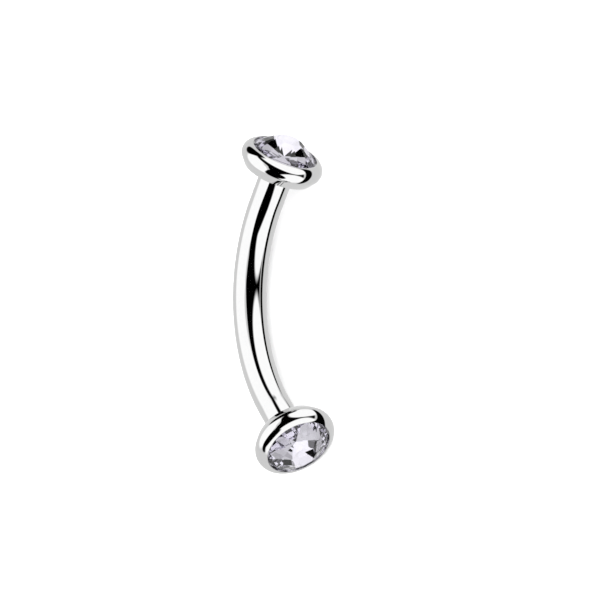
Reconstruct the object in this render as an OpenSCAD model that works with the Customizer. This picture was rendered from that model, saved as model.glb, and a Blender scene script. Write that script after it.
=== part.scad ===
// Curved eyebrow barbell, lying as it rests by itself on its belly and on the rims of both ends.
// X runs along the chord, from the lower end to the upper end. Z is up, and Z 0 is the floor.
// Each end is one piece of metal, a cup with a threaded post, and a cut crystal sits in the cup.

/* [Bar] */
// Diameter of the bar, 16 gauge
bar_d = 1.2; // [1:0.05:1.4]
// Length of the bent middle of the bar, along its centre line
arc_length = 8; // [6:0.1:12]
// Half of the angle that the middle is bent through, in degrees
half_bend = 38; // [30:1:44]
// Length of the straight stretch at each end of the bar
end_straight = 1.16; // [1:0.02:2]
// Depth that the straight stretches are ground below the surface of the bend
end_ease = 0.002; // [0.001:0.001:0.01]
// Length of the straight stretches that runs on inside the bend
end_root = 0.05; // [0.02:0.01:0.08]
// Bevel round the edge of each end face of the bar
bar_bevel = 0.04; // [0.02:0.01:0.08]

/* [Ends] */
// Diameter of each end over its rounded rim
end_d = 3; // [2.8:0.05:3.6]
// Radius of the rounding of the rim
rim_round = 0.37; // [0.34:0.01:0.42]
// Height of the middle of the rounding above the flat back
rim_level = 0.48; // [0.44:0.01:0.6]
// Diameter of the flat back that bears on the end of the bar
back_d = 2.48; // [1.8:0.02:2.5]

/* [Post] */
// Diameter of the post over its thread
post_d = 0.8; // [0.7:0.01:0.9]
// Length of the post below the flat back
post_length = 0.95; // [0.7:0.01:1.2]
// Plain neck between the flat back and the thread
post_neck = 0.12; // [0.06:0.01:0.2]
// Distance from one turn of the thread to the next
thread_pitch = 0.2; // [0.15:0.01:0.25]
// Depth of the thread
thread_depth = 0.06; // [0.04:0.01:0.08]

/* [Crystals] */
// Diameter of each crystal at its girdle
crystal_d = 2.34; // [2:0.02:2.4]
// Distance across the corners of the table
table_d = 0.92; // [0.7:0.02:1.4]
// Height of the top of the girdle above the flat back
girdle_level = 0.81; // [0.78:0.01:0.86]
// Height of the upright band round the girdle
girdle_band = 0.05; // [0.04:0.01:0.1]
// Height of the crown, from the girdle to the table
crown_height = 0.53; // [0.4:0.01:0.7]
// Depth of the point under the girdle
pavilion_depth = 0.32; // [0.2:0.01:0.5]
// Share of the pavilion's depth that the long facets' corners reach
pavilion_break = 0.7; // [0.5:0.01:0.8]
// Number of main facets round the crown
facet_count = 8; // [8:1:12]
// Turn of the upper crystal in its cup, in degrees
upper_turn = 29.5; // [0:0.5:45]
// Turn of the lower crystal in its cup, in degrees
lower_turn = 22.5; // [0:0.5:45]

/* [Fits] */
// Gap all round between a crystal and its cup
crystal_gap = 0.02; // [0.01:0.01:0.04]
// Gap all round between the thread of a post and its bore
thread_gap = 0.02; // [0.01:0.01:0.04]
// Gap between the flat back and the end of the bar
seat_gap = 0.02; // [0.01:0.01:0.04]
// Spare depth of the bore past the tip of the post
bore_spare = 0.15; // [0.05:0.01:0.3]

/* [Hidden] */
$fn = 96;

upper = 1;
lower = -1;
metal = [0.78, 0.78, 0.79];
clear = [0.93, 0.94, 0.97];

bar_r = bar_d / 2;
bend_r = arc_length / 2 / (half_bend * PI / 180);
sag = bend_r * (1 - cos(half_bend));
bore_r = post_d / 2 + thread_gap;
bore_depth = post_length + bore_spare;

// The flank of an end runs from the edge of its flat back and touches the rounding of its rim.
back_r = back_d / 2;
rim_r = end_d / 2 - rim_round;
lip_level = rim_level + rim_round;
flank_reach = norm([back_r - rim_r, rim_level]);
flank_angle = atan2(-rim_level, back_r - rim_r) + acos(rim_round / flank_reach);
flank_top = [rim_r + rim_round * cos(flank_angle), rim_level + rim_round * sin(flank_angle)];

// Each long facet of the pavilion passes through one edge of the girdle and through the point.
crystal_r = crystal_d / 2;
table_level = girdle_level + crown_height;
girdle_foot = girdle_level - girdle_band;
point_level = girdle_foot - pavilion_depth;
facet_step = 360 / facet_count;
corner_r = crystal_r * cos(facet_step / 4) / cos(facet_step / 2);
break_r = pavilion_break * corner_r;
break_level = point_level + pavilion_break * pavilion_depth;

// The cup clears the corners of the pavilion and the girdle by the same gap.
cup_r = crystal_r + crystal_gap;
cup_point = point_level - crystal_gap;
cup_foot = cup_point + cup_r * pavilion_depth / corner_r;

// Lean at which the belly of the bar and the rims of both ends meet the floor together.
rim_reach = end_straight + seat_gap + rim_level;
drop = sag + rim_reach * sin(half_bend);
step = bar_r - rim_round;
turn_r = rim_r * sin(half_bend);
lean_root = sqrt(pow(drop * step, 2) - (pow(drop, 2) + pow(turn_r, 2)) * (pow(step, 2) - pow(rim_r, 2)));
lean = asin((lean_root - drop * step) / (pow(drop, 2) + pow(turn_r, 2)));

// Heights and reaches that put the origin on the floor, under the middle of the whole barbell.
rest_height = sag * sin(lean) + bar_r;
belly_y = sag * cos(lean) + bar_r;
rim_tilt = sqrt(1 - pow(sin(half_bend) * cos(lean), 2));
rim_y = -rim_reach * sin(half_bend) * cos(lean) - rim_r * rim_tilt - rim_round;

// Lays what is drawn in the plane of the bend down on the floor.
module at_rest() {
    translate([0, -(belly_y + rim_y) / 2, rest_height])
        rotate([-lean, 0, 0])
            children();
}

// Puts what is drawn along +Z on an end face of the bar, with +Z pointing away from the bar.
module at_end(side) {
    translate([side * bend_r * sin(half_bend), 0, 0])
        rotate([0, 90, side > 0 ? -half_bend : 180 + half_bend])
            translate([0, 0, end_straight])
                children();
}

function ring(radius, level, count, turn) = [
    for (i = [0:count - 1])
        [radius * cos(turn + i * 360 / count), radius * sin(turn + i * 360 / count), level]
];

module bent_middle() {
    translate([0, -bend_r * cos(half_bend), 0])
        rotate([0, 0, 90 - half_bend])
            rotate_extrude(angle = 2 * half_bend)
                translate([bend_r, 0])
                    circle(r = bar_r);
}

module straight_stretch() {
    end_r = bar_r - end_ease;
    rotate_extrude()
        polygon([
            [0, -end_straight - end_root],
            [end_r, -end_straight - end_root],
            [end_r, -bar_bevel],
            [end_r - bar_bevel, 0],
            [0, 0]
        ]);
}

module bore() {
    translate([0, 0, -bore_depth])
        cylinder(h = bore_depth + bar_d, r = bore_r);
}

module bar() {
    color(metal)
        at_rest()
            difference() {
                union() {
                    bent_middle();
                    for (side = [upper, lower])
                        at_end(side) straight_stretch();
                }
                for (side = [upper, lower])
                    at_end(side) bore();
            }
}

module disc() {
    rotate_extrude() {
        polygon([
            [0, 0],
            [back_r, 0],
            flank_top,
            [rim_r, rim_level],
            [rim_r, lip_level],
            [0, lip_level]
        ]);
        translate([rim_r, rim_level])
            circle(r = rim_round);
    }
}

// The thread is drawn as rings, so that the post can be drawn straight out of its bore.
module post() {
    crest_r = post_d / 2;
    root_r = crest_r - thread_depth;
    turns = floor((post_length - post_neck) / thread_pitch);
    thread = [
        for (i = [0:turns - 1], crest = [0, 1])
            [crest == 1 ? crest_r : root_r, -post_neck - (i + crest / 2) * thread_pitch]
    ];
    rotate_extrude()
        polygon(concat(
            [[0, cup_point / 2], [root_r, cup_point / 2]],
            thread,
            [[root_r, -post_neck - turns * thread_pitch], [root_r, -post_length], [0, -post_length]]
        ));
}

module cup() {
    rotate_extrude()
        polygon([
            [0, cup_point],
            [cup_r, cup_foot],
            [cup_r, lip_level + rim_round],
            [0, lip_level + rim_round]
        ]);
}

module bezel(side) {
    color(metal)
        at_rest()
            at_end(side)
                translate([0, 0, seat_gap])
                    difference() {
                        union() {
                            disc();
                            post();
                        }
                        cup();
                    }
}

// The table has one corner for each main facet, and the girdle has two.
module cut_crystal(turn) {
    n = facet_count;
    m = 2 * n;
    girdle_turn = turn + facet_step / 4;
    top = n;
    foot = n + m;
    inner = n + 2 * m;
    tip = 2 * n + 2 * m;
    points = concat(
        ring(table_d / 2, table_level, n, turn),
        ring(crystal_r, girdle_level, m, girdle_turn),
        ring(crystal_r, girdle_foot, m, girdle_turn),
        ring(break_r, break_level, n, turn),
        [[0, 0, point_level]]
    );
    table = [[for (i = [n - 1:-1:0]) i]];
    crown_mains = [
        for (i = [0:n - 1])
            [i, (i + 1) % n, top + 2 * i + 1, top + 2 * i]
    ];
    crown_corners = [
        for (i = [0:n - 1])
            [i, top + 2 * i, top + (2 * i + m - 1) % m]
    ];
    girdle = [
        for (i = [0:m - 1])
            [top + i, top + (i + 1) % m, foot + (i + 1) % m, foot + i]
    ];
    pavilion_mains = [
        for (i = [0:n - 1])
            [inner + i, foot + 2 * i, foot + 2 * i + 1, inner + (i + 1) % n, tip]
    ];
    pavilion_corners = [
        for (i = [0:n - 1])
            [inner + i, foot + (2 * i + m - 1) % m, foot + 2 * i]
    ];
    polyhedron(
        points = points,
        faces = concat(table, crown_mains, crown_corners, girdle, pavilion_mains, pavilion_corners)
    );
}

module crystal(side, turn) {
    color(clear)
        at_rest()
            at_end(side)
                translate([0, 0, seat_gap])
                    cut_crystal(turn);
}

bar();
bezel(upper);  // upper_bezel
crystal(upper, upper_turn);  // upper_crystal
bezel(lower);  // lower_bezel
crystal(lower, lower_turn);  // lower_crystal
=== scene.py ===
# %% [markdown]
# # A curved barbell with a cut crystal in each end
# The real thing is body jewellery. A short bar of titanium is bent over its middle and tapped at
# both ends. A round end screws into each tapped hole, and its face holds a faceted crystal.
# Everything on it is hard and highly polished, so this lesson is about three things: clean round
# shapes, flat crisp facets, and a studio that gives a mirror something worth reflecting.

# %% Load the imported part
import math

import bmesh
import bpy
from mathutils import Matrix, Vector


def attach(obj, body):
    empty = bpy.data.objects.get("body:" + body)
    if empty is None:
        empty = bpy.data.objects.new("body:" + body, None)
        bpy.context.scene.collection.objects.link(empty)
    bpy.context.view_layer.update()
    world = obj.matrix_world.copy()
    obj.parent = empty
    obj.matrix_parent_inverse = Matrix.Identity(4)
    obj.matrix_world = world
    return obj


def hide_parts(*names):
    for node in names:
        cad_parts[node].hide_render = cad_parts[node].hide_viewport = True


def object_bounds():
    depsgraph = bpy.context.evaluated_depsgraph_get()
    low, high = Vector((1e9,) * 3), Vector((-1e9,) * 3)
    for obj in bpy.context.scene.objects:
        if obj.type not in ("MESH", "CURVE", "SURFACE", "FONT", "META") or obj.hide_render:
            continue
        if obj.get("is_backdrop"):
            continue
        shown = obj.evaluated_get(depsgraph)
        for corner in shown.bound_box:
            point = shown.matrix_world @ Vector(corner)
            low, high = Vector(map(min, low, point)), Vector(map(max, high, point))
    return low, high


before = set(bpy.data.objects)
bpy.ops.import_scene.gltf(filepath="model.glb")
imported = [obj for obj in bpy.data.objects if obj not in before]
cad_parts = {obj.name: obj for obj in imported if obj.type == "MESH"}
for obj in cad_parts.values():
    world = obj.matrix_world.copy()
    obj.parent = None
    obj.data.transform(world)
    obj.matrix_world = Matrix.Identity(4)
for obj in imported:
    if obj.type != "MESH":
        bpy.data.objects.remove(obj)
cad_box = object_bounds()
print("CAD box in mm:", [[round(1000 * x, 3) for x in corner] for corner in cad_box])

# %% [markdown]
# ## Sizes
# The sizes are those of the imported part, in millimetres, because a jeweller thinks in
# millimetres. Each mesh is made in millimetres too, and one matrix then scales it to metres and
# lays it where it rests.

# %% Sizes
MM = 0.001
BAR_R, ARC_LENGTH, HALF_BEND = 0.6, 8.0, math.radians(38)
END_STRAIGHT, BAR_BEVEL = 1.16, 0.04
RIM_R, RIM_ROUND, RIM_LEVEL, BACK_R = 1.13, 0.37, 0.48, 1.24
POST_R, POST_LENGTH, POST_NECK = 0.4, 0.95, 0.12
THREAD_PITCH, THREAD_DEPTH = 0.2, 0.06
STONE_R, TABLE_R, GIRDLE_LEVEL, GIRDLE_BAND = 1.17, 0.46, 0.81, 0.05
CROWN_HEIGHT, PAVILION_DEPTH, PAVILION_BREAK = 0.53, 0.32, 0.7
STONE_GAP, THREAD_GAP, SEAT_GAP, BORE_SPARE = 0.02, 0.02, 0.02, 0.15
FACETS = 8

BEND_R = ARC_LENGTH / 2 / HALF_BEND
FOOT_LEVEL = GIRDLE_LEVEL - GIRDLE_BAND
POINT_LEVEL = FOOT_LEVEL - PAVILION_DEPTH
FACET_STEP = math.tau / FACETS
print("radius of the bend in mm:", round(BEND_R, 3))

# %% [markdown]
# ## Where the barbell lies
# Put down by itself, the barbell touches the floor with the belly of its bend and with the rims
# of both ends, so it leans. The lean could be found by letting it drop in a simulation. Here it
# follows from the sizes: the belly and both rims have to reach the same level.

# %% Lean at rest
sag = BEND_R * (1 - math.cos(HALF_BEND))
rim_reach = END_STRAIGHT + SEAT_GAP + RIM_LEVEL
drop = sag + rim_reach * math.sin(HALF_BEND)
step_down = BAR_R - RIM_ROUND
rim_turn = RIM_R * math.sin(HALF_BEND)
span = drop**2 + rim_turn**2
lean_root = math.sqrt((drop * step_down) ** 2 - span * (step_down**2 - RIM_R**2))
LEAN = math.asin((lean_root - drop * step_down) / span)
print("lean in degrees:", round(math.degrees(LEAN), 3))

# %% Height and place at rest
REST_HEIGHT = sag * math.sin(LEAN) + BAR_R
belly_y = sag * math.cos(LEAN) + BAR_R
rim_tilt = math.sqrt(1 - (math.sin(HALF_BEND) * math.cos(LEAN)) ** 2)
rim_y = -rim_reach * math.sin(HALF_BEND) * math.cos(LEAN) - RIM_R * rim_tilt - RIM_ROUND
REST_SHIFT = -(belly_y + rim_y) / 2
print("height and shift in mm:", round(REST_HEIGHT, 4), round(REST_SHIFT, 4))

# %% [markdown]
# The bend is drawn flat and then leaned as a whole. A second matrix puts what is drawn along +Z
# on an end face of the bar, with +Z pointing away from the bar.

# %% Places
SIDES = {"upper": 1, "lower": -1}

at_rest = (
    Matrix.Scale(MM, 4)
    @ Matrix.Translation((0, REST_SHIFT, REST_HEIGHT))
    @ Matrix.Rotation(-LEAN, 4, "X")
)


def end_face(side):
    """Lays +Z along one end of the bar, with its foot on the end face."""
    turn = -HALF_BEND if side > 0 else math.pi + HALF_BEND
    return (
        Matrix.Translation((side * BEND_R * math.sin(HALF_BEND), 0, 0))
        @ Matrix.Rotation(turn, 4, "Z")
        @ Matrix.Rotation(math.radians(90), 4, "Y")
        @ Matrix.Translation((0, 0, END_STRAIGHT))
    )


for name, side in SIDES.items():
    centre = at_rest @ end_face(side) @ Vector()
    print(name, "end face in mm:", [round(x / MM, 3) for x in centre])

# %% [markdown]
# ## Camera
# A small piece of jewellery is photographed from far off with a long lens, which keeps its
# proportions nearly free of perspective. The camera stands half a metre away and its lens is
# worked out from the width of the picture.

# %% Camera
PICTURE_WIDTH, CAMERA_DISTANCE = 21.3, 500
CAMERA_AZIMUTH, CAMERA_ELEVATION, CAMERA_ROLL = (math.radians(x) for x in (-108.4, 57.8, -76.9))
AIM = Matrix.Translation((0.136, -0.667, 0.574))

camera = bpy.data.objects.new("camera", bpy.data.cameras.new("camera"))
bpy.context.scene.collection.objects.link(camera)
aimed = (
    AIM
    @ Matrix.Rotation(CAMERA_AZIMUTH + math.radians(90), 4, "Z")
    @ Matrix.Rotation(math.radians(90) - CAMERA_ELEVATION, 4, "X")
    @ Matrix.Rotation(CAMERA_ROLL, 4, "Z")
    @ Matrix.Translation((0, 0, CAMERA_DISTANCE))
)
camera.matrix_world = Matrix.Translation(aimed.translation * MM) @ aimed.to_3x3().to_4x4()
camera.data.lens = camera.data.sensor_width * CAMERA_DISTANCE / PICTURE_WIDTH
bpy.context.scene.camera = camera
print("lens in mm:", round(camera.data.lens))

# %% [markdown]
# ## Helpers for nodes and colours
# Every material below is a small network of nodes. One function adds a node, sets what it is
# told and links its inputs. Colours are written as the hex values that a designer reads off a
# screen, and one function turns them to the linear values that a renderer adds up.


# %% Nodes and colours
def add_node(tree, kind, inputs=None, **settings):
    """Adds a node. Each input is a plain value or the output of another node."""
    node = tree.nodes.new(kind)
    for name, value in settings.items():
        setattr(node, name, value)
    for name, value in (inputs or {}).items():
        if isinstance(value, bpy.types.NodeSocket):
            tree.links.new(value, node.inputs[name])
        else:
            node.inputs[name].default_value = value
    return node


def colour(hex_code, brightness=1.0):
    """An sRGB hex colour as linear red, green and blue, with an alpha of 1."""
    parts = [int(hex_code[i : i + 2], 16) / 255 for i in (1, 3, 5)]
    linear = [x / 12.92 if x <= 0.04045 else ((x + 0.055) / 1.055) ** 2.4 for x in parts]
    return (*[x * brightness for x in linear], 1.0)


print("white is", colour("#FFFFFF"), "and mid grey is", colour("#808080"))

# %% [markdown]
# ## Studio
# Polished metal has no look of its own: it shows the room. A jewellery photographer works in a
# light tent, with a dark cloth round the camera and white panels at the sides, and the edges
# between them draw the dark lines that make metal read as metal. Area lamps and sheets of card
# could do it, but cards painted on the sky around the object stay out of every camera's way.

# %% Direction of a ray
world = bpy.data.worlds.new("light tent")
world.use_nodes = True
bpy.context.scene.world = world
sky = world.node_tree
sky.nodes.clear()
direction = add_node(sky, "ShaderNodeTexCoord").outputs["Generated"]
axes = add_node(sky, "ShaderNodeSeparateXYZ", {0: direction}).outputs
around = add_node(sky, "ShaderNodeMath", {0: axes["Y"], 1: axes["X"]}, operation="ARCTAN2").outputs[0]
above = add_node(sky, "ShaderNodeMath", {0: axes["Z"]}, operation="ARCSINE").outputs[0]
radians = add_node(sky, "ShaderNodeCombineXYZ", {0: around, 1: above}).outputs[0]
degrees = {0: radians, "Scale": math.degrees(1)}
ray = add_node(sky, "ShaderNodeVectorMath", degrees, operation="SCALE").outputs[0]
print("nodes before the cards:", len(sky.nodes))

# %% [markdown]
# Each card has its middle on the sky, as azimuth and elevation, and half of its width and height,
# all in degrees and in whole steps of five. A round bar sweeps its reflection from the camera to
# both sides, so a dark line down the bar asks for a long dark strip on the sky.
# The black cloth surrounds the camera, and the white panels are laid over its lower edge with a
# gap between them, which makes the two dark wedges that meet at the middle of the bend. The cards
# are ovals, because an oval is one length in a direction that is divided by its half sizes.

# %% Cards round the barbell
TENT_LIGHT, PANEL_LIGHT = 0.8, 1.3
BLACK, WHITE = "#000000", "#FFFFFF"
CARDS = (
    ("white panel behind", (85, 55), (85, 40), 0.3, WHITE, PANEL_LIGHT),
    ("black cloth round the camera", (-105, 35), (115, 50), 0.05, BLACK, 0),
    ("white panel in front, lower end", (-145, 10), (45, 35), 0.2, WHITE, PANEL_LIGHT),
    ("white panel in front, upper end", (-45, 10), (45, 35), 0.2, WHITE, PANEL_LIGHT),
    ("dark edge of the table", (-100, -30), (80, 10), 0.2, BLACK, 0),
    ("black card behind", (20, 10), (30, 20), 0.2, BLACK, 0),
    ("black card at the lower end", (180, 45), (35, 30), 0.2, BLACK, 0),
)

light = colour(WHITE, TENT_LIGHT)
for name, middle, half, edge, tone, brightness in CARDS:
    asked = {0: ray, 1: (*middle, 0)}
    offset = add_node(sky, "ShaderNodeVectorMath", asked, operation="SUBTRACT").outputs[0]
    asked = {0: offset, 1: (180, 180, 180), 2: (-180, -180, -180)}
    offset = add_node(sky, "ShaderNodeVectorMath", asked, operation="WRAP").outputs[0]
    asked = {0: offset, 1: (*half, 1)}
    share = add_node(sky, "ShaderNodeVectorMath", asked, operation="DIVIDE").outputs[0]
    asked = {0: share, 1: share}
    reach = add_node(sky, "ShaderNodeVectorMath", asked, operation="DOT_PRODUCT").outputs["Value"]
    asked = {"Value": reach, "From Min": 1 + edge, "From Max": 1 - edge}
    cover = add_node(sky, "ShaderNodeMapRange", asked, interpolation_type="SMOOTHSTEP").outputs[0]
    asked = {0: cover, 6: light, 7: colour(tone, brightness)}
    light = add_node(sky, "ShaderNodeMix", asked, data_type="RGBA", label=name).outputs[2]
print("cards:", *(card[0] for card in CARDS), sep="\n  ")

# %% [markdown]
# The polished pieces see the cards. Everything else, such as the floor, is lit by a plain white
# sky, and a camera that looks past the barbell sees a white sweep, as in a catalogue. The Light
# Path node tells these rays apart. Light bounces many times between the facets of a cut stone,
# and it would stop as a black patch if its path were cut short, so long paths are let through.

# %% What each ray sees
FLOOR_LIGHT, LONG_PATH = 2.4, 16
path = add_node(sky, "ShaderNodeLightPath").outputs
seen = colour(WHITE, FLOOR_LIGHT)
for kind, shown in (
    ("Is Glossy Ray", light),
    ("Is Transmission Ray", light),
    ("Is Camera Ray", colour(WHITE)),
):
    asked = {0: path[kind], 6: seen, 7: shown}
    seen = add_node(sky, "ShaderNodeMix", asked, data_type="RGBA").outputs[2]
tent = add_node(sky, "ShaderNodeBackground", {"Color": seen})
add_node(sky, "ShaderNodeOutputWorld", {"Surface": tent.outputs[0]})

scene = bpy.context.scene
scene.view_settings.view_transform = "Standard"
scene.cycles.max_bounces = LONG_PATH
scene.cycles.glossy_bounces = LONG_PATH
scene.cycles.transmission_bounces = LONG_PATH
print("nodes in the sky:", len(sky.nodes))

# %% [markdown]
# ## Floor
# The barbell lies on a sheet of white board under the plain white sky. The board is kept out of
# the reflections, where the tent already stands for it.

# %% Floor
FLOOR_WIDTH, BOARD_ROUGHNESS = 3.0, 0.9

bm = bmesh.new()
bmesh.ops.create_grid(bm, x_segments=1, y_segments=1, size=FLOOR_WIDTH / 2)
floor = bpy.data.objects.new("floor", bpy.data.meshes.new("floor"))
bm.to_mesh(floor.data)
bm.free()
bpy.context.scene.collection.objects.link(floor)
floor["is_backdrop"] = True

board = bpy.data.materials.new("white card board")
board.use_nodes = True
surface = board.node_tree.nodes["Principled BSDF"].inputs
surface["Base Color"].default_value = colour("#F4F4F4")
surface["Roughness"].default_value = BOARD_ROUGHNESS
surface["Specular IOR Level"].default_value = 0.0
floor.data.materials.append(board)

floor.visible_glossy = False
floor.visible_transmission = False
print("the floor is", round(floor.dimensions.x, 1), "m wide")

# %% [markdown]
# ## Polished titanium
# The bar and both ends are titanium, turned and then polished on a felt wheel to a mirror. A wheel
# never leaves a perfect mirror: the surface keeps a slow waviness, and a haze of fine lines that
# blurs some reflections a little more than others. A single roughness would look like chrome
# paint, so a noise varies the roughness and a slower one bends the reflections.

# %% Titanium
PER_METRE = 1 / MM
WAVE_MM, WAVE_HEIGHT_MM = 0.8, 0.0006
# The real lines are far finer. They are drawn 0.12 mm wide, so that the haze shows.
HAZE_MM = 0.12
SMOOTHEST, HAZIEST = 0.006, 0.02

titanium = bpy.data.materials.new("mirror polished titanium")
titanium.use_nodes = True
tree = titanium.node_tree
surface = tree.nodes["Principled BSDF"].inputs
surface["Metallic"].default_value = 1.0
place = add_node(tree, "ShaderNodeTexCoord").outputs["Object"]
asked = {"Vector": place, "Scale": PER_METRE / HAZE_MM, "Detail": 2.0}
haze = add_node(tree, "ShaderNodeTexNoise", asked).outputs["Fac"]
asked = {"Value": haze, "From Min": 0.3, "From Max": 0.7, "To Min": SMOOTHEST, "To Max": HAZIEST}
tree.links.new(add_node(tree, "ShaderNodeMapRange", asked).outputs[0], surface["Roughness"])
asked = {0: haze, 6: colour("#E3E3E2"), 7: colour("#DDDDDE")}
tree.links.new(add_node(tree, "ShaderNodeMix", asked, data_type="RGBA").outputs[2], surface["Base Color"])
asked = {"Vector": place, "Scale": PER_METRE / WAVE_MM, "Detail": 0.0}
waves = add_node(tree, "ShaderNodeTexNoise", asked).outputs["Fac"]
asked = {"Height": waves, "Distance": WAVE_HEIGHT_MM * MM}
tree.links.new(add_node(tree, "ShaderNodeBump", asked).outputs[0], surface["Normal"])
print(titanium.name, "has", len(tree.nodes), "nodes")

# %% [markdown]
# ## Crystal and foil
# The stones are cut crystal glass with a silver foil on the back, as cheap sparkling stones are.
# Light goes in through the crown, is thrown back by the foil and leaves through another facet, so
# each facet shows another bit of the tent. Glass with an index of 1.52 bends it as crystal does.
# The lap that cuts a facet leaves it very slightly crowned, which the bump stands for, and the
# glass has a breath of lilac. The foil is a mirror with soft dents, pressed on by hand.

# %% Crystal
LAP_MM, LAP_HEIGHT_MM = 0.9, 0.0003
TINT_MM = 1.2
GLASS_IOR = 1.52

crystal = bpy.data.materials.new("cut crystal glass")
crystal.use_nodes = True
tree = crystal.node_tree
surface = tree.nodes["Principled BSDF"].inputs
surface["Roughness"].default_value = 0.0
surface["Transmission Weight"].default_value = 1.0
surface["IOR"].default_value = GLASS_IOR
place = add_node(tree, "ShaderNodeTexCoord").outputs["Object"]
asked = {"Vector": place, "Scale": PER_METRE / TINT_MM, "Detail": 0.0}
tint = add_node(tree, "ShaderNodeTexNoise", asked).outputs["Fac"]
asked = {0: tint, 6: colour("#F5F4F8"), 7: colour("#EAE8EF")}
tree.links.new(add_node(tree, "ShaderNodeMix", asked, data_type="RGBA").outputs[2], surface["Base Color"])
asked = {"Vector": place, "Scale": PER_METRE / LAP_MM, "Detail": 0.0}
crowned = add_node(tree, "ShaderNodeTexNoise", asked).outputs["Fac"]
asked = {"Height": crowned, "Distance": LAP_HEIGHT_MM * MM}
tree.links.new(add_node(tree, "ShaderNodeBump", asked).outputs[0], surface["Normal"])
print(crystal.name, "has", len(tree.nodes), "nodes")

# %% Foil
DENT_MM, DENT_HEIGHT_MM = 0.6, 0.0002

foil = bpy.data.materials.new("silver foil")
foil.use_nodes = True
tree = foil.node_tree
surface = tree.nodes["Principled BSDF"].inputs
surface["Metallic"].default_value = 1.0
surface["Roughness"].default_value = 0.0
place = add_node(tree, "ShaderNodeTexCoord").outputs["Object"]
asked = {"Vector": place, "Scale": PER_METRE / DENT_MM, "Detail": 1.0}
dents = add_node(tree, "ShaderNodeTexNoise", asked).outputs["Fac"]
asked = {0: dents, 6: colour("#F8F8FA"), 7: colour("#ECEAF0")}
tree.links.new(add_node(tree, "ShaderNodeMix", asked, data_type="RGBA").outputs[2], surface["Base Color"])
asked = {"Height": dents, "Distance": DENT_HEIGHT_MM * MM}
tree.links.new(add_node(tree, "ShaderNodeBump", asked).outputs[0], surface["Normal"])
print(foil.name, "has", len(tree.nodes), "nodes")

# %% [markdown]
# ## Finishing a piece
# Every piece ends the same way, so one function does it. It closes the seams and poles that a spin
# leaves open, turns all faces outwards, marks the true corners sharp and lays the mesh where it
# rests. On a closed skin each edge has two faces, so the script stops if one has more or fewer.


# %% Finish a piece
SHARP = math.radians(28)
# In millimetres: points closer than this are one point.
MERGE = 1e-5


def finish_piece(bm, name, place, *materials, flat=False):
    """Merges the seams, lays the mesh in its place and makes it an object at the origin."""
    bmesh.ops.remove_doubles(bm, verts=bm.verts, dist=MERGE)
    bmesh.ops.recalc_face_normals(bm, faces=bm.faces)
    for face in bm.faces:
        face.smooth = not flat
    for line in bm.edges:
        line.smooth = len(line.link_faces) == 2 and line.calc_face_angle() < SHARP
    open_edges = sum(len(line.link_faces) != 2 for line in bm.edges)
    print(name, len(bm.faces), "faces,", open_edges, "open edges,", bm.calc_volume(), "mm3")
    assert open_edges == 0, f"{name} is not a closed skin"
    bmesh.ops.transform(bm, matrix=place, verts=bm.verts)
    piece = bpy.data.objects.new(name, bpy.data.meshes.new(name))
    bm.to_mesh(piece.data)
    bm.free()
    for material in materials:
        piece.data.materials.append(material)
    bpy.context.scene.collection.objects.link(piece)
    return piece


# %% [markdown]
# Drilling and drawing out a rod are one move in mesh work: a face is extruded and its new copy is
# pushed along. The next function does that and gives the face back, so that it can go on. The old
# face would stay behind as a wall inside the metal, so it is taken out, unless it stood alone and
# becomes the other end of the rod.


# %% Push a face
def push(bm, face, offset):
    """Extrudes one face along an offset and gives the face at its new place."""
    stood_alone = all(line.is_boundary for line in face.edges)
    made = bmesh.ops.extrude_face_region(bm, geom=[face])["geom"]
    (moved,) = (part for part in made if isinstance(part, bmesh.types.BMFace))
    if face.is_valid and not stood_alone:
        bmesh.ops.delete(bm, geom=[face], context="FACES_ONLY")
    bmesh.ops.translate(bm, verts=moved.verts, vec=offset)
    return moved


# %% [markdown]
# ## Thread
# The posts and bores are tapped with a fine thread, one turn each 0.2 mm. A screw modifier could
# sweep a thread, but its ends would need closing. Here a round wall with enough levels is pushed
# outwards along a helix, and the helix fades away over one turn at both of its ends, as a cut
# thread does. The wall stays one closed skin.

# %% Thread
LEVELS_PER_TURN = 10


def cut_thread(verts, place, top, foot, depth):
    """Moves a round wall outwards along a right-hand helix that fades at both of its ends."""
    back = place.inverted()
    for vert in verts:
        x, y, z = back @ vert.co
        phase = (z / THREAD_PITCH - math.atan2(y, x) / math.tau) % 1
        fade = max(0, min(1, (top - z) / THREAD_PITCH, (z - foot) / THREAD_PITCH))
        out = 1 + depth * fade * (1 - abs(2 * phase - 1)) / math.hypot(x, y)
        vert.co = place @ Vector((x * out, y * out, z))


# %% [markdown]
# ## Bar
# The real bar is drawn wire, bent over a former, with both ends cut square. A bevelled curve gives
# a bent rod quickly, but its ends are hard to drill. So a disc is drawn at the lower end face,
# extruded straight, spun round the middle of the bend and extruded straight once more.

# %% Bar
BAR_SIDES, BEND_STEPS = 128, 160
BORE_R, BORE_DEPTH = POST_R + THREAD_GAP, POST_LENGTH + BORE_SPARE
BEVEL = {"segments": 3, "offset_type": "OFFSET", "profile": 0.5, "affect": "EDGES", "material": -1}

bm = bmesh.new()
bmesh.ops.create_circle(
    bm, cap_ends=True, segments=BAR_SIDES, radius=BAR_R, matrix=end_face(-1)
)
bm.faces.ensure_lookup_table()
outwards = {side: end_face(side).to_3x3() @ Vector((0, 0, 1)) for side in SIDES.values()}
root = push(bm, bm.faces[0], -outwards[-1] * END_STRAIGHT)
bent = bmesh.ops.spin(
    bm,
    geom=[root, *root.edges, *root.verts],
    cent=(0, -BEND_R * math.cos(HALF_BEND), 0),
    axis=(0, 0, -1),
    angle=2 * HALF_BEND,
    steps=BEND_STEPS,
)["geom_last"]
(root,) = (part for part in bent if isinstance(part, bmesh.types.BMFace))
push(bm, root, outwards[1] * END_STRAIGHT)
print("faces in the plain bar:", len(bm.faces))

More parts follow.
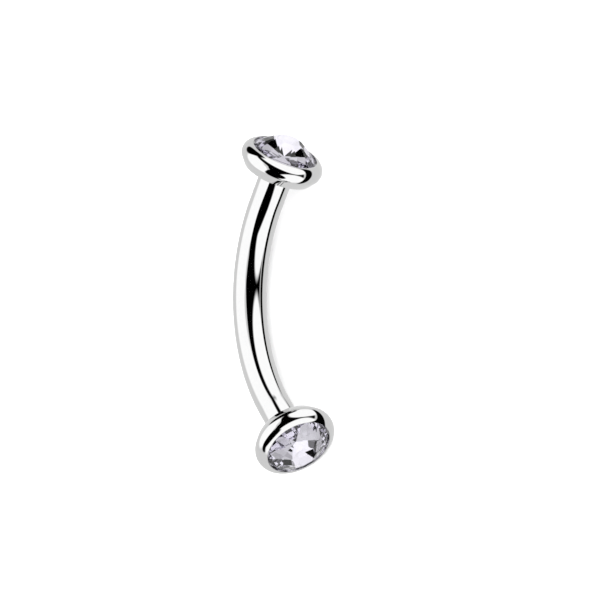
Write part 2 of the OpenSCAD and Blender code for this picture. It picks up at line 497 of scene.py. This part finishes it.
# %% [markdown]
# The cut ends are deburred with a small bevel, and then each is drilled and tapped. The end face
# is inset down to the drill's diameter, and what is left in the middle is pushed in step by step,
# so that the wall has the levels that the thread needs.


# %% Bores
def end_caps(bm):
    """The two end faces of the bar, which are the only faces with more than four corners."""
    return [face for face in bm.faces if len(face.verts) > 4]


cut_edges = [line for face in end_caps(bm) for line in face.edges]
bmesh.ops.bevel(bm, geom=cut_edges, offset=BAR_BEVEL, **BEVEL)
for face in end_caps(bm):
    side = 1 if face.calc_center_median().x > 0 else -1
    bmesh.ops.inset_region(
        bm, faces=[face], thickness=BAR_R - BAR_BEVEL - BORE_R, use_even_offset=True
    )
    levels = round(BORE_DEPTH / THREAD_PITCH * LEVELS_PER_TURN)
    wall = []
    for _ in range(levels):
        face = push(bm, face, -outwards[side] * BORE_DEPTH / levels)
        wall += face.verts
    cut_thread(wall, end_face(side), -SEAT_GAP, -POST_LENGTH - BORE_SPARE / 2, THREAD_DEPTH)

bar = finish_piece(bm, "polished_bar", at_rest, titanium)

# %% [markdown]
# ## Ends
# Each end is turned on a lathe from one piece of titanium: a flat back that bears on the bar, a
# flank, a rounded rim, and a cup for the stone, with the threaded post on the back. So it is made
# as on a lathe. The outline stands on its axis, its rim is a true arc that touches the flank and
# stops at the lip of the cup, its two sharp corners are rounded, and one full spin turns it.

# %% Outline of an end
END_TURNS, RIM_STEPS = 144, 44
TIP_BEVEL, BACK_ROUND, LIP_ROUND = 0.06, 0.03, 0.015
CUP_POINT = POINT_LEVEL - STONE_GAP
CUP_R = STONE_R + STONE_GAP
FLAT_R = STONE_R * math.cos(FACET_STEP / 4)
CORNER_R = FLAT_R / math.cos(FACET_STEP / 2)
CUP_FOOT = CUP_POINT + CUP_R * PAVILION_DEPTH / CORNER_R
ROOT_R = POST_R - THREAD_DEPTH
reach = math.hypot(BACK_R - RIM_R, RIM_LEVEL)
FLANK = math.atan2(-RIM_LEVEL, BACK_R - RIM_R) + math.acos(RIM_ROUND / reach)
LIP = math.acos((CUP_R - RIM_R) / RIM_ROUND)
LIP_LEVEL = RIM_LEVEL + RIM_ROUND * math.sin(LIP)
print("lip of the cup in mm above the flat back:", round(LIP_LEVEL, 3))


def draw_outline(bm):
    """Draws half of an end's outline in the plane of X and Z, from the cup round to the post."""
    cup = [bm.verts.new(p) for p in ((0, 0, CUP_POINT), (CUP_R, 0, CUP_FOOT), (CUP_R, 0, LIP_LEVEL))]
    rim = bmesh.ops.spin(
        bm, geom=[cup[-1]], cent=(RIM_R, 0, RIM_LEVEL), axis=(0, 1, 0), angle=LIP - FLANK,
        steps=RIM_STEPS,
    )["geom_last"]
    (flank,) = (part for part in rim if isinstance(part, bmesh.types.BMVert))
    back = [
        bm.verts.new((radius, 0, level))
        for radius, level in (
            (BACK_R, 0),
            (ROOT_R, 0),
            (ROOT_R, TIP_BEVEL - POST_LENGTH),
            (ROOT_R - TIP_BEVEL, -POST_LENGTH),
            (0, -POST_LENGTH),
        )
    ]
    for first, second in (*zip(cup, cup[1:]), (flank, back[0]), *zip(back, back[1:])):
        bm.edges.new((first, second))
    levels = round(POST_LENGTH / THREAD_PITCH * LEVELS_PER_TURN)
    bmesh.ops.subdivide_edges(bm, edges=[bm.edges.get((back[1], back[2]))], cuts=levels)


def round_corner(bm, radius, level, size):
    """Rounds the corner of the outline that is nearest to a radius and a level."""
    spot = Vector((radius, 0, level))
    corner = min(bm.verts, key=lambda vert: (vert.co - spot).length)
    bmesh.ops.bevel(bm, geom=[corner], offset=size, **{**BEVEL, "affect": "VERTICES"})


# %% [markdown]
# A bevel makes new points and drops old ones, so each corner is looked up by its place just
# before it is rounded. The full spin merges its first and last turn into one seam.


# %% Turn both ends
# In millimetres: how near a point has to be to count as lying on the wall of the post.
NEAR_WALL = 0.001


def turned_end(name, side):
    """Turns one end on its axis, cuts its thread and lays it at its end of the bar."""
    bm = bmesh.new()
    draw_outline(bm)
    round_corner(bm, BACK_R, 0, BACK_ROUND)
    round_corner(bm, CUP_R, LIP_LEVEL, LIP_ROUND)
    bmesh.ops.spin(
        bm, geom=[*bm.verts, *bm.edges], cent=(0, 0, 0), axis=(0, 0, 1), angle=math.tau,
        steps=END_TURNS, use_merge=True,
    )
    bmesh.ops.remove_doubles(bm, verts=bm.verts, dist=MERGE)
    below = [vert for vert in bm.verts if vert.co.z < -NEAR_WALL]
    wall = [vert for vert in below if math.hypot(vert.co.x, vert.co.y) > ROOT_R - NEAR_WALL]
    cut_thread(wall, Matrix(), -POST_NECK, TIP_BEVEL - POST_LENGTH, THREAD_DEPTH)
    lifted = end_face(side) @ Matrix.Translation((0, 0, SEAT_GAP))
    return finish_piece(bm, name, at_rest @ lifted, titanium)


ends = {name: turned_end(f"{name}_end", side) for name, side in SIDES.items()}

# %% [markdown]
# ## Crystals
# A stone cutter starts from a round blank and grinds one flat after another against a lap. The
# same is done here: a cone operator makes the blank with sixteen sides, and each facet is a plane
# that cuts the waste off and is closed again. Eight main facets and eight corner facets form the
# crown under the table, and as many form the shallow point under the girdle. No facet is shaded
# smooth, because a smooth facet would look like a drop of glass.


# %% Grind a facet
def grind(bm, azimuth, first, second):
    """Cuts one flat facet through two points, each a radius and a level on that azimuth."""
    across = Vector((-math.sin(azimuth), math.cos(azimuth), 0))
    outer, inner = (
        Vector((radius * math.cos(azimuth), radius * math.sin(azimuth), level))
        for radius, level in (first, second)
    )
    facing = across.cross(inner - outer).normalized()
    if facing.dot(outer) < facing.dot(Vector((0, 0, FOOT_LEVEL))):
        facing.negate()
    cut = bmesh.ops.bisect_plane(
        bm,
        geom=[*bm.verts, *bm.edges, *bm.faces],
        plane_co=outer,
        plane_no=facing,
        dist=MERGE,
        clear_outer=True,
    )["geom_cut"]
    rim = [part for part in cut if isinstance(part, bmesh.types.BMEdge)]
    bmesh.ops.contextual_create(bm, geom=rim)


# %% [markdown]
# The steepest and the flattest planes all pass through the edge of the girdle, so the girdle keeps
# its sixteen sides whatever the angles are. The facets that face down carry the foil.


# %% Cut both crystals
TURNS = {"upper": 29.5, "lower": 22.5}
# A girdle facet stands upright, so its normal has no Z but for rounding.
DOWNWARDS = -0.1


def cut_crystal(name, side):
    """Grinds one crystal from its blank, foils its back and lays it in its cup."""
    bm = bmesh.new()
    table_level = GIRDLE_LEVEL + CROWN_HEIGHT
    start = math.radians(TURNS[name])
    middle = Matrix.Translation((0, 0, (table_level + POINT_LEVEL) / 2))
    bmesh.ops.create_cone(
        bm, cap_ends=True, cap_tris=False, segments=2 * FACETS, radius1=STONE_R, radius2=STONE_R,
        depth=table_level - POINT_LEVEL,
        matrix=middle @ Matrix.Rotation(start + FACET_STEP / 4, 4, "Z"),
    )
    break_level = POINT_LEVEL + PAVILION_BREAK * PAVILION_DEPTH
    for i in range(FACETS):
        main, corner = start + (i + 0.5) * FACET_STEP, start + i * FACET_STEP
        grind(bm, main, (FLAT_R, GIRDLE_LEVEL), (TABLE_R * math.cos(FACET_STEP / 2), table_level))
        grind(bm, corner, (FLAT_R, GIRDLE_LEVEL), (TABLE_R, table_level))
        grind(bm, main, (FLAT_R, FOOT_LEVEL), (0, POINT_LEVEL))
        grind(bm, corner, (FLAT_R, FOOT_LEVEL), (PAVILION_BREAK * CORNER_R, break_level))
    bmesh.ops.recalc_face_normals(bm, faces=bm.faces)
    for face in bm.faces:
        face.material_index = int(face.normal.z < DOWNWARDS)
    lifted = end_face(side) @ Matrix.Translation((0, 0, SEAT_GAP))
    return finish_piece(bm, f"{name}_cut_crystal", at_rest @ lifted, crystal, foil, flat=True)


stones = {name: cut_crystal(name, side) for name, side in SIDES.items()}

# %% [markdown]
# ## Joining
# Each new piece stands for one solid of the part, so it moves with the same body. The solids stay
# in the part for its collisions and are hidden here.

# %% Join the pieces to the part
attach(bar, "bar")
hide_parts("bar")
for name in SIDES:
    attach(ends[name], f"{name}_end")
    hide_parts(f"{name}_bezel")
    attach(stones[name], f"{name}_end")
    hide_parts(f"{name}_crystal")
print("pieces:", bar.name, *(piece.name for piece in (*ends.values(), *stones.values())))

# %% [markdown]
# The dressed barbell has to be the size of the part. Both boxes are printed, and they should
# agree to a few thousandths of a millimetre.

# %% Size of the dressed part
boxes = {"cad": cad_box, "visual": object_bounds()}
boxes = {name: [list(corner) for corner in box] for name, box in boxes.items()}
for name, box in boxes.items():
    print(name, "box in mm:", [[round(x / MM, 3) for x in corner] for corner in box])
